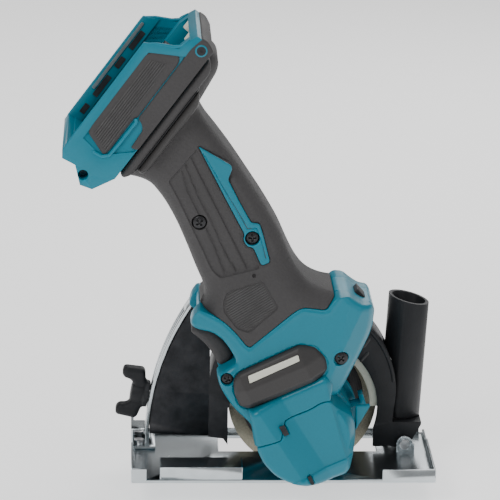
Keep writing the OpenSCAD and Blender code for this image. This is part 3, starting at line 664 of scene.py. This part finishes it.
HEAD = [(-119, 103.5), (-115.4, 101.8), (-106.7, 97.5), (-99.6, 90.6), (-93.4, 82.8),
        (-91.2, 81.4), (-67.5, 101.7), (-62.7, 104.6), (-51.4, 103.1), (-49.2, 103.6),
        (-44.1, 110.8), (-37.3, 110.6), (-34.2, 108.1), (-29, 104.6), (-24.4, 104.2),
        (-22.4, 100), (-23.2, 91.4), (-25, 84.9), (-30.8, 71.7), (-37.4, 58), (-41.5, 50.5),
        (-46.9, 52), (-51.7, 51.2), (-57.6, 47.2), (-71.8, 41.4), (-73.8, 31.2), (-88.4, 26.6),
        (-89.6, 36), (-98.5, 44.5), (-103.4, 51.1), (-107.4, 58.2),
        (-109.2, 65.5), (-98.2, 72.2), (-100.6, 77.6), (-105.4, 84.8), (-111.5, 89.6),
        (-120, 91.4), (-124, 94), (-122.8, 99)]
COVER = [(-87.4, 26.5), (-80.5, 28.6), (-73.4, 30.8), (-71.3, 41.1), (-57.4, 46.9),
         (-51.5, 50.9), (-46.6, 51.7), (-43.6, 47.5), (-34, 40), (-31.7, 33.8), (-31.7, 25.6),
         (-34.2, 12.1), (-36.2, 7.4), (-42.7, 5), (-51, 2.8), (-58.7, 2.8), (-69.3, 5.5),
         (-76.5, 9.5), (-83.4, 16.9)]
BADGE = [(-64.2, 83.4), (-55.5, 82.3), (-49, 75.3), (-48.4, 69), (-50, 65.4), (-91.6, 46.2),
         (-96.4, 48.2), (-99.6, 55.7), (-100.1, 63.1), (-97.2, 67.4)]
LENS = [(-92.3, 66.7), (-65, 79), (-64.1, 75.9), (-91.4, 62.9)]
HOOK_UPPER = [(-75.3, 38.9), (-72.2, 40.2), (-69, 34.2), (-71.6, 33)]
HOOK_LOWER = [(-59, 9.6), (-57, 10.4), (-54.6, 5.2), (-56.6, 4.6)]
# edges between facets: the head's front slope, the nose's left flank and its bottom ledge
HEAD_RIDGE = ((-46.3, 66), (-30.6, 101.5))
LEFT_EDGE = ((-62.6, 9.3), (-77.3, 32.6))
LEDGE = ((-56.6, 10.2), (-35.8, 19.4))

head_line = fillet(HEAD, [2, 2, 5, 5, 1.5, 1.5, 3, 3, 3, 2, 2.5, 2, 2, 3, 2.5, 2, 3, 4, 4, 4, 3,
                          0.6, 2, 3, 0.8, 0.8, 0.5, 3, 4, 4, 4, 1.6, 1.2, 3, 4, 4, 2, 2, 2],
                   0.9)
badge_line = fillet(BADGE, [2.5, 1.5, 2.5, 1.5, 1.5, 1.5, 2, 2, 2, 2], 0.6)
cover_line = fillet(COVER, [2.5, 4, 0.8, 1.2, 4, 3, 2, 3, 5, 3, 4, 3, 2, 3, 4, 4, 5, 5, 5], 0.6)
lens_line = fillet(LENS, 0.6, 0.5)
rim_path = np.array([(-118.5, 103.2), (-115.2, 101.2), (-106.8, 96.8), (-99.8, 90),
                     (-93.8, 82.3), (-91.3, 80.8), (-67.3, 101), (-62.5, 103.9),
                     (-51.4, 102.4), (-48.8, 103.1), (-43.8, 110.2)])


def head_relief(p):
    """Facets at the front, a raised lip along the handle, screw bosses and the badge's seat."""
    h = np.minimum(0.6 * beyond(p, *HEAD_RIDGE), 9)
    h = h + 0.25 * beyond(p, (-50, 40), (-45, 66))
    lip = distance(p, rim_path, False)
    h -= 0.55 * np.exp(-(lip - 1.4) ** 2)
    for c, r in HEAD_WELLS:
        q = np.linalg.norm(p - np.array(c), axis=1)
        h += 2.4 * step_in(r - q, 0.4) - 0.3 * np.exp(-((q - r - 0.6) / 0.5) ** 2)
    d = signed(p, badge_line)
    h += 0.8 * step_in(d + 0.35, 0.5)
    return h


head_lines = beside(badge_line, (-0.6, -0.2, 0.2)) + [respace(rim_path, 0.8)[:-12]]
for c, r in HEAD_WELLS:
    head_lines += [circle(c, r - 0.2, 32), circle(c, r + 0.2, 32), circle(c, r + 0.8, 32)]
head_lines.append(straight(*HEAD_RIDGE, 50))
# the head's rounding runs on above its joint with the handle
below_handle = HEAD[HEAD.index((-44.1, 110.8)) + 1:]
head_envelope = fillet([(-122, 112), (-100, 130), (-56, 132), (-42, 118)] + below_handle, 3, 0.9)
moulding("head_body_near", head_line, NEAR, SLOT_NEAR, 4, 0, "saw", blue, "blue_plastic",
         ("head_shell_near",), grid=0.8, near_relief=head_relief, lines=head_lines,
         round_to=head_envelope)
moulding("head_body_far", head_line, SLOT_FAR, FAR, 0, 4, "saw", blue, "blue_plastic",
         ("head_shell_far",), grid=1.0, round_to=head_envelope)
# middle of the head, cut back so that the trigger has room to move
HEAD_MIDDLE = HEAD[:HEAD.index((-109.2, 65.5))] + [
    (-103, 61.5), (-97, 65.2), (-94.4, 70), (-95, 77), (-98, 83), (-102.2, 88), (-108.8, 93.4),
    (-118.4, 96), (-120.4, 99.4)]
moulding("head_body_middle", fillet(HEAD_MIDDLE, 1.5, 1.0), SLOT_NEAR, SLOT_FAR, 0, 0, "saw",
         blue, "blue_plastic", grid=1.4)


def collar(name, r, y0, y1):
    """A ring about the spindle, cut flat just above the base."""
    loop = circle(SPINDLE_XZ, r, 140)
    loop[:, 1] = np.maximum(loop[:, 1], 3.3)
    moulding(name, respace(loop, 1.0), y0, y1, 1.2, 1.2, "saw", blue, "blue_plastic", grid=1.6,
             holes=[circle(SPINDLE_XZ, 20.5, 90)])


collar("head_collar", 26.4, -46, -17.2)
collar("head_ring", 29.8, -23.5, -17.2)


def front_form(p):
    """Flat middle facet; the left and right flanks slope back, but not into the gear case."""
    left = beyond(p, *LEFT_EDGE)
    right_edge = np.interp(p[:, 1], (10.8, 51.7, 66), (-35, -47.2, -50))
    right = np.clip(p[:, 0] - right_edge, 0, None)
    off_spindle = np.linalg.norm(p - np.array(SPINDLE_XZ), axis=1)
    slopes = 0.45 * np.minimum(left, 14) + right
    return 1.2 + np.minimum(slopes, 8.4 + 1.5 * np.clip(off_spindle - 22.5, 0, None))


def cover_relief(p):
    """The front's facets with a ledge across the bottom and two hook windows."""
    h = front_form(p)
    d = beyond(p, *LEDGE)
    ledge = step_in(d - 0.2, 0.9)
    h += -1.1 * ledge + 0.5 * np.clip(d - 2, 0, None)
    for window in (HOOK_UPPER, HOOK_LOWER):
        h += 1.5 * step_in(signed(p, fillet(window, 0.4, 0.4)), 0.35)
    return np.maximum(h, 0.15)


cover_lines = [respace(np.array(window), 0.5) for window in (HOOK_UPPER, HOOK_LOWER)]
cover_lines += [straight(a, b, 60) for a, b in (LEFT_EDGE, ((-35, 10.8), (-47.2, 51.7)), LEDGE,
                                                ((-56.8, 9.5), (-36, 18.7)))]
ENVELOPE = [(-91.5, 46.5), (-89.6, 36), (-87.6, 26.5), (-83.4, 16.9), (-76.5, 9.5),
            (-69.3, 5.5), (-58.7, 2.8), (-51, 2.8), (-42.7, 5), (-36.2, 7.4), (-34.2, 12.1),
            (-31.7, 25.6), (-31.7, 33.8), (-34, 40), (-43.6, 52), (-44, 62), (-49.5, 66)]
SKIRT = [(-91.5, 46.5), (-89.6, 36), (-88, 26.9), (-80.5, 28.9), (-73.7, 31.1), (-71.6, 41.4),
         (-57.5, 47.3), (-51.7, 51.2), (-46.6, 52.1), (-45.2, 60), (-49.5, 66)]
envelope = fillet(ENVELOPE, 3, 0.8)
skirt_line = fillet(SKIRT, [1, 1, 0.6, 2, 0.5, 0.8, 3, 2, 0.8, 2, 1], 0.6)
moulding("nose_cover", cover_line, NOSE, -28.2, 3.6, 0.8, "saw", blue, "blue_plastic",
         ("gear_cover",), grid=0.75, near_relief=cover_relief, lines=cover_lines,
         round_to=envelope)
moulding("head_skirt", skirt_line, NOSE, -60, 3.6, 0, "saw", blue, "blue_plastic", grid=0.8,
         near_relief=front_form, round_to=envelope)


def hook_window(name, points, y0, y1, replaces=()):
    """A black plate at the bottom of a hook window: painted shade inside the opening."""
    moulding(name, fillet(points, 0.4, 0.4), y0, y1, 0, 0, "saw", black, "black_plastic",
             replaces, grid=0.8)


# black plates in the two hook windows: painted shade of the openings
hook_window("hook_window_upper", [(-75.1, 38.6), (-72.2, 39.8), (-69.4, 34.4), (-71.9, 33.4)],
            -75.7, -75.1, ("cover_insert",))
hook_window("hook_window_lower", [(-58.8, 9.4), (-57, 10.1), (-54.8, 5.2), (-56.5, 4.7)],
            -76.2, -75.6)


def badge_relief(p):
    """A roof with its ridge below the lens strip, and chamfered ends."""
    ridge_a, ridge_b = np.array((-93.9, 58.4)), np.array((-56, 75.4))
    d = ridge_b - ridge_a
    d /= np.linalg.norm(d)
    across = (p[:, 0] - ridge_a[0]) * -d[1] + (p[:, 1] - ridge_a[1]) * d[0]
    along = (p[:, 0] - ridge_a[0]) * d[0] + (p[:, 1] - ridge_a[1]) * d[1]
    h = 0.4 * np.clip(across - 0.3, 0, None) + 0.1 * np.clip(-across, 0, None)
    h += np.clip(-across - 8, 0, None) * 0.8
    h += np.clip(-along + 0.5, 0, None) * 0.6 + np.clip(along - 36, 0, None) * 0.6
    return h + 0.9 * step_in(signed(p, lens_line) + 0.15, 0.4)


def lens_relief(p):
    return badge_relief(p) - 0.75


moulding("lamp_housing", badge_line, -74, -63, 1.8, 0, "saw", charcoal, "black_plastic",
         ("badge_panel",), grid=0.7, near_relief=badge_relief,
         lines=beside(lens_line, (-0.3, 0, 0.3)))
moulding("lamp_lens", lens_line, -74, -69.5, 0.3, 0, "saw", lens, "lens_plastic",
         ("light_lens",), grid=0.8, near_relief=lens_relief)

# ---- Guard and spindle lock ------------------------------------------------------------------


def lay_at(y, p):
    """A line in X and Z, taken to one Y."""
    return np.stack([p[:, 0], np.full(len(p), y), p[:, 1]], 1)


edge_angle = np.radians(np.linspace(4, 150, 90))
guard_edge = np.stack([-58.8 + 51.9 * np.cos(edge_angle), 38 + 51.9 * np.sin(edge_angle)], 1)
for tag, y in (("near", -14.9), ("far", 10.3)):
    bead("guard_edge_" + tag, lay_at(y, guard_edge), 1.15, "saw", black)
for i, (a, b) in enumerate([((-25, 64), (-21, 70)), ((-26.5, 55.5), (-21.5, 61.5))]):
    bead("guard_vent_%d" % i, lay_at(-15.45, straight(a, b, 12)), 0.9, "saw", charcoal,
         flatten=0.4)

# fin that presses the spindle lock
fin_line = fillet([(-31.2, 42.3), (-22.9, 42.8), (-31, 27.8)], [0.6, 1, 0.8], 0.5)
moulding("lock_fin", fin_line, -52.2, -48.4, 0.6, 0.6, "spindle_lock", blue, "blue_plastic",
         grid=1.0)

# ---- Screws ----------------------------------------------------------------------------------

def pan_head(name, place, y, r, replaces=()):
    """Recessed pan head with a cross slot, drawn as a relief on a domed disc."""
    x, z = place
    turn = math.radians(20 + 31 * (x % 3))
    c, s = math.cos(turn), math.sin(turn)

    def arm(a, b):
        return step_in(0.42 - np.abs(a), 0.3) * step_in(0.55 * r - np.abs(b), 0.4)

    def relief(p):
        q = np.linalg.norm(p - np.array(place), axis=1)
        u = (p[:, 0] - x) * c + (p[:, 1] - z) * s
        v = -(p[:, 0] - x) * s + (p[:, 1] - z) * c
        return 0.7 * (q / r) ** 2 + np.maximum(arm(u, v), arm(v, u))

    moulding(name, circle(place, r, 40), y, y + 1.9, 0.4, 0, "saw", oxide, "black_steel",
             replaces, grid=0.28, near_relief=relief)


pan_head("screw_upper", SCREW_UPPER, NEAR + 1.9, 3.6, ("case_screws",))
pan_head("screw_lower", SCREW_LOWER, NEAR + 1.2, 3.6)
pan_head("screw_front", SCREW_FRONT, NEAR + 1.6, 3.7)
pan_head("screw_rear", SCREW_REAR, NEAR + 0.8, 3.2)

# ---- Trigger ---------------------------------------------------------------------------------

TRIGGER = [(-123.6, 85.4), (-121.4, 88.4), (-112.6, 88.4), (-106.4, 84), (-101.6, 77.2),
           (-99.2, 72.6), (-101.4, 67.4), (-105.6, 66), (-108.2, 66.6), (-110.4, 71.6),
           (-114.4, 77.4), (-120, 82.6)]
trigger_line = fillet(TRIGGER, [2, 1.5, 3, 4, 4, 1.5, 2, 1, 1.5, 4, 4, 3], 0.6)
moulding("trigger_pad", trigger_line, SLOT_NEAR + 0.8, SLOT_FAR - 0.8, 4, 4, "trigger_body", grip,
         "dark_grip", ("trigger",), grid=0.9)

# ---- Knob ------------------------------------------------------------------------------------

KNOB_ANGLE = math.radians(10.3)
knob_axis = Vector((-math.cos(KNOB_ANGLE), 0, math.sin(KNOB_ANGLE)))
knob_up = Vector((math.sin(KNOB_ANGLE), 0, math.cos(KNOB_ANGLE)))
# 148.4 mm along the axis from the base's pivot
knob_base = Vector((0, -7, 7)) + knob_axis * 148.4


def knob():
    """Flat bar with two hooked wings, square to the clamp's axis."""
    out = fillet([(0, -7.2), (3, -7.6), (4.2, -13.2), (5.6, -15), (16.8, -14.4), (17.2, -10.4),
                  (15.6, -8.2), (10.8, -7.4), (9.4, -3), (9.4, 3), (10.8, 7.4), (15.6, 8.2),
                  (17.2, 10.4), (16.8, 14.4), (5.6, 15), (4.2, 13.2), (3, 7.6), (0, 7.2)],
                 [1, 2, 3, 3, 2, 2, 2, 3, 4, 4, 3, 2, 2, 2, 3, 3, 2, 1], 0.7)
    place = Matrix(((knob_axis.x, 0, knob_up.x, knob_base.x * MM),
                    (0, 1, 0, knob_base.y * MM),
                    (knob_axis.z, 0, knob_up.z, knob_base.z * MM), (0, 0, 0, 1)))
    moulding("clamp_knob", out, -4.4, 4.4, 2.4, 2.4, "knob", black, "black_plastic",
             ("depth_knob",), grid=0.8, to_world=place)


def fluted(angle, height):
    """Twelve shallow flutes round the hub's flange."""
    return 1 + (0.02 * math.cos(12 * angle) if height < 3 else 0)


knob()
lathe("knob_hub", [(6.8, 0.1), (7.6, 0.5), (7.7, 2.6), (7.1, 3.4), (6.5, 4), (6.4, 9), (5.9, 10),
                   (4.6, 10.4)], knob_base, knob_axis, "knob", black, fluted)

# ---- Battery foot ----------------------------------------------------------------------------

FOOT = (Matrix.Translation((FOOT_ORIGIN[0] * MM, 0, FOOT_ORIGIN[1] * MM))
        @ Matrix.Rotation(-FOOT_TILT, 4, "Y"))


def foot_piece(name, outline, near, far, r_near, r_far, look, slot, **more):
    """A moulded piece of the foot; its outline is in the foot's own frame."""
    moulding(name, outline, near, far, r_near, r_far, "saw", look, slot, to_world=FOOT, **more)


def foot_path(points, y):
    """A path at one Y, from the foot's own frame to the object's."""
    return np.array([tuple(FOOT @ Vector((u * MM, y * MM, v * MM)) / MM) for u, v in points])


flank_line = fillet([(10.8, -19.4), (16, -5.2), (20, -4.6), (70, -4.6), (78.4, -19.4),
                     (75, -21.4), (38, -21.6), (36.6, -20.4), (15.6, -20.4)],
                    [2, 2.5, 2, 3, 2.5, 2, 1, 1, 2], 0.8)
rib_area = fillet([(12.4, -19.6), (17, -7.6), (34, -7.8), (36, -6.8), (67.6, -6.8), (72.4, -17.6),
                   (38, -18.4), (36, -19.6)], 0.8, 0.6)
block_line = fillet([(38, -22.2), (77, -22), (84.6, -21.6), (93, -23.4), (93.2, -27),
                     (90.4, -32.4), (24, -32.4), (22.6, -28.6), (34, -28), (36.4, -26)],
                    [1, 2, 3, 2, 2, 3, 1, 1, 2, 2], 0.8)


def flank_form(p):
    """Chamfer below the ribs."""
    return 0.2 * np.clip(-18.5 - p[:, 1], 0, None)


foot_piece("foot_flank_near", flank_line, FOOT_NEAR - 0.4, FOOT_NEAR + 2, 0.8, 0, grip,
           "dark_grip", replaces=("foot_pads",), grid=1.2, near_relief=flank_form)
ribs("foot_ribs_near", rib_area, 0, 1.28, 0.42, FOOT_NEAR - 0.4, "saw", grip, FOOT,
     0.6)
foot_piece("foot_block_near", block_line, FOOT_NEAR - 0.25, FOOT_NEAR + 2, 0.6, 0, grip,
           "dark_grip", grid=1.6)
foot_piece("foot_flank_far", flank_line, FOOT_FAR - 2, FOOT_FAR + 0.4, 0, 0.8, grip, "dark_grip",
           grid=1.2, far_relief=flank_form)
ribs("foot_ribs_far", rib_area, 0, 1.28, 0.42, FOOT_FAR + 0.4, "saw", grip, FOOT,
     0.6)
foot_piece("foot_block_far", block_line, FOOT_FAR - 2, FOOT_FAR + 0.25, 0, 0.6, grip, "dark_grip",
           grid=1.6)

# neck that spreads to the foot, in layers with a dark joint between them
for name, u0, u1, v0, v1, half, look, slot in (
        ("foot_joint", 7, 86, -33.4, -31.2, 30.5, black, "black_plastic"),
        ("foot_skirt", 7, 84, -38.6, -33, 31.6, grip, "dark_grip"),
        ("foot_line", 12, 70, -40.2, -38.2, 29.5, black, "black_plastic"),
        ("foot_collar", 14, 66, -44.6, -39.8, 30.6, charcoal, "dark_grip")):
    line = fillet([(u0, v1), (u1 + 2, v1), (u1, (v0 + v1) / 2), (u1 - 4, v0), (u0 + 3, v0),
                   (u0 - 1, (v0 + v1) / 2)], 2.2, 0.7)
    foot_piece(name, line, MID - half, MID + half, 3.2, 3.2, look, slot, grid=1.2)


def strip(name, u0, u1, v0, v1, y0, y1, look, slot, **more):
    """A flat bar with rounded corners, in the foot's own frame."""
    line = fillet([(u0, v0), (u1, v0), (u1, v1), (u0, v1)], min(0.4, (v1 - v0) / 3), 0.5)
    foot_piece(name, line, y0, y1, 0, 0, look, slot, grid=1.5, **more)


# steel strips on the rails, and black strips between the far rail's ribs as painted shade in the
# windows there
strip("rail_strip_near", 24, 70, -2.6, -0.9, -72.05, -71.3, steel, "machined_steel",
      replaces=("rail_strips",))
strip("rail_strip_far", 24, 70, -2.6, -0.9, -12.7, -11.95, steel, "machined_steel")
for i, (u0, u1) in enumerate([(9, 15), (21, 35), (41, 48), (54, 66)]):
    # black strips: painted shade of the rail's windows
    strip("rail_window_%d" % i, u0, u1, -6.6, -3.4, -12.3, -11.9, black, "black_plastic")

# dark end of the foot below its rim, and a strap seat: a ring round a dark hole
end_line = fillet([(89.4, -22.4), (93.2, -23.2), (93.4, -27.2), (90.6, -32.6), (88.3, -32.6)],
                  [0.8, 1, 2, 1.2, 0.5], 0.5)
foot_piece("foot_end", end_line, FOOT_NEAR - 0.2, FOOT_FAR + 0.2, 1, 1, grip, "dark_grip",
           grid=1.2)
# dark end of the foot below its rim, and a strap seat: a ring round a black disc that is painted
# shade of the hole
STRAP_HOLE = (87.4, -26.8)
for tag, y0, y1 in (("near", FOOT_NEAR - 0.6, FOOT_NEAR + 1.4),
                    ("far", FOOT_FAR - 1.4, FOOT_FAR + 0.6)):
    foot_piece("strap_ring_" + tag, circle(STRAP_HOLE, 3.4, 32), y0, y1, 0.6, 0.6, blue,
               "blue_plastic", grid=1.2, holes=[circle(STRAP_HOLE, 2.5, 26)])
    # black disc that fills the strap hole: painted shade
    foot_piece("strap_hole_shade_" + tag, circle(STRAP_HOLE, 2.55, 26), y0 + 0.1, y1 - 0.1, 0, 0,
               black, "black_plastic", grid=1.2)

# raised hook round the lower corner of the ribbed panel
hook = [(9.2, -13), (9.8, -19), (12.6, -21.8), (22, -22.1), (36, -22.3), (37.4, -21)]
for tag, y in (("near", FOOT_NEAR + 0.1), ("far", FOOT_FAR - 0.1)):
    bead("foot_hook_" + tag, resample(foot_path(hook, y), 60), 1.05, "saw", blue)

# rounded rim beads of the battery channel
rim = np.array([(0.5, -0.6), (72, -0.6), (76.2, -6), (80.2, -13.8), (83, -17), (88.5, -18.6)])
rim_points = []
for a, b in zip(rim, rim[1:]):
    steps = max(2, int(np.linalg.norm(b - a) / 1.5))
    rim_points += [(1 - t) * a + t * b for t in np.linspace(0, 1, steps, endpoint=False)]
rim_points.append(rim[-1])
for tag, y in (("near", FOOT_NEAR + 1), ("far", FOOT_FAR - 1)):
    bead("foot_rim_" + tag, foot_path(rim_points, y), 1.0, "saw", blue)

# ---- Floor, lights and camera ----------------------------------------------------------------

def floor_and_light():
    """Pale floor just below the object, even white surroundings and four soft lamps."""
    lowest = cad_box[0][2]
    bm = bmesh.new()
    bmesh.ops.create_grid(bm, x_segments=4, y_segments=4, size=6)
    mesh = bpy.data.meshes.new("floor")
    bm.to_mesh(mesh)
    bm.free()
    floor = bpy.data.objects.new("floor", mesh)
    floor.location = (0, 0, lowest - 0.0005)
    bpy.context.scene.collection.objects.link(floor)
    look = bpy.data.materials.new("floor_white")
    look.use_nodes = True
    shader = look.node_tree.nodes["Principled BSDF"]
    shader.inputs["Base Color"].default_value = (0.9, 0.9, 0.9, 1)
    shader.inputs["Emission Color"].default_value = (1, 1, 1, 1)
    shader.inputs["Emission Strength"].default_value = 0.75
    shader.inputs["Roughness"].default_value = 0.75
    mesh.materials.append(look)
    world = bpy.data.worlds.new("studio")
    bpy.context.scene.world = world
    world.use_nodes = True
    background = world.node_tree.nodes["Background"]
    background.inputs["Color"].default_value = (1, 1, 1, 1)
    background.inputs["Strength"].default_value = 0.36
    target = Vector((-0.09, -0.03, 0.12))
    for name, place, size, power in (
            ("key", (-0.75, -1.0, 1.15), 0.6, 10), ("fill", (0.95, -0.9, 0.6), 0.5, 2),
            ("top", (0.0, 0.1, 1.4), 0.9, 6), ("rim", (0.3, 0.9, 0.7), 0.7, 4)):
        data = bpy.data.lights.new(name, "AREA")
        data.size = size
        data.energy = power
        lamp = bpy.data.objects.new(name, data)
        lamp.location = place
        direction = target - Vector(place)
        lamp.rotation_euler = direction.to_track_quat("-Z", "Y").to_euler()
        bpy.context.scene.collection.objects.link(lamp)


def camera():
    """The photograph's view, from a fit to the disc, the base and the battery foot."""
    turn, elevation, roll = (math.radians(a) for a in (2.4456, 17.1002, 0.8176))
    forward = Vector((math.sin(turn) * math.cos(elevation), math.cos(turn) * math.cos(elevation),
                      -math.sin(elevation)))
    level = Vector((math.cos(turn), -math.sin(turn), 0))
    upright = level.cross(forward)
    right = level * math.cos(roll) + upright * math.sin(roll)
    up = upright * math.cos(roll) - level * math.sin(roll)
    data = bpy.data.cameras.new("camera")
    data.sensor_width = 36
    data.lens = 215.9
    data.clip_end = 30
    cam = bpy.data.objects.new("camera", data)
    place = Matrix((right, up, -forward)).transposed().to_4x4()
    place.translation = (-0.158118, -1.616141, 0.614675)
    cam.matrix_world = place
    bpy.context.scene.collection.objects.link(cam)
    bpy.context.scene.camera = cam


floor_and_light()
camera()
